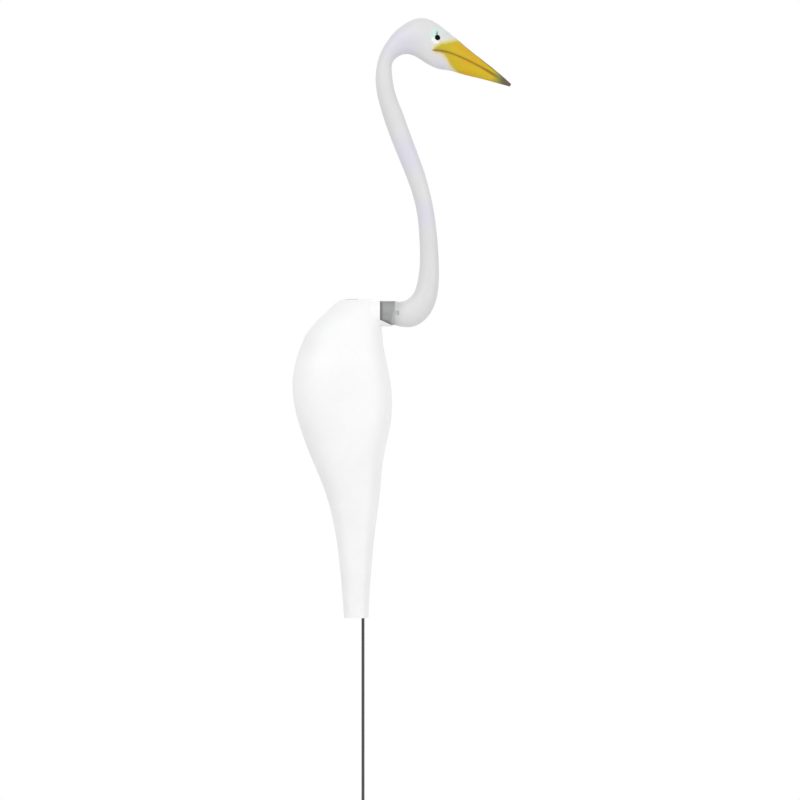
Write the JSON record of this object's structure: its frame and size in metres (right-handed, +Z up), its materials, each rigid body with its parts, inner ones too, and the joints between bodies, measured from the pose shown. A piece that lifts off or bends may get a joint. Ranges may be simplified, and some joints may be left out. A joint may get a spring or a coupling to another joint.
{
  "type": "motion bird decoy",
  "caption": "Hollow long-necked wading-bird decoy balanced on a ball pivot at the top of a thin pointed ground stake, so that wind spins and rocks it.",
  "frame": {"origin": "on the stake's axis at ground level, 200 mm above the tip of its point", "axes": "+X the way the bird faces, +Y the bird's left, +Z up along the stake"},
  "size_m": [0.2187, 0.0738, 1.1995],
  "materials": {
    "white_body": "satin",
    "white_neck": "satin",
    "grey_collar": "satin",
    "yellow_bill": "satin",
    "black_eye": "gloss",
    "black_rod": "satin",
    "dark_nylon": "satin",
    "steel": "polished",
    "screw_steel": "satin"
  },
  "bodies": {
    "stake": {"stake_upper_rod": "black_rod", "stake_lower_rod": "black_rod", "stake_coupler": "black_rod"},
    "swivel": {"tip_cap": "dark_nylon"},
    "ball": {"pivot_ball": "steel"},
    "bird": {"pivot_cup": "steel", "pivot_block": "dark_nylon", "neck_collar": "grey_collar", "neck_shell_right": "white_neck", "neck_shell_left": "white_neck", "upper_bill": "yellow_bill", "lower_bill": "yellow_bill", "eye_right": "black_eye", "eye_left": "black_eye", "body_shell_right": "white_body", "body_shell_left": "white_body", "body_screws": "screw_steel", "neck_screw": "screw_steel"}
  },
  "joints": [
    {"name": "spin", "type": "hinge", "parent": "stake", "child": "swivel", "pos_m": [0, 0, 0.704], "axis": [0, 0, 1], "continuous": true},
    {"name": "peck", "type": "hinge", "parent": "swivel", "child": "ball", "pos_m": [0, 0, 0.704], "axis": [0, 1, 0], "range_deg": [-2.9, 0.35]},
    {"name": "sway", "type": "hinge", "parent": "ball", "child": "bird", "pos_m": [0, 0, 0.704], "axis": [1, 0, 0], "range_deg": [-2, 2]}
  ]
}
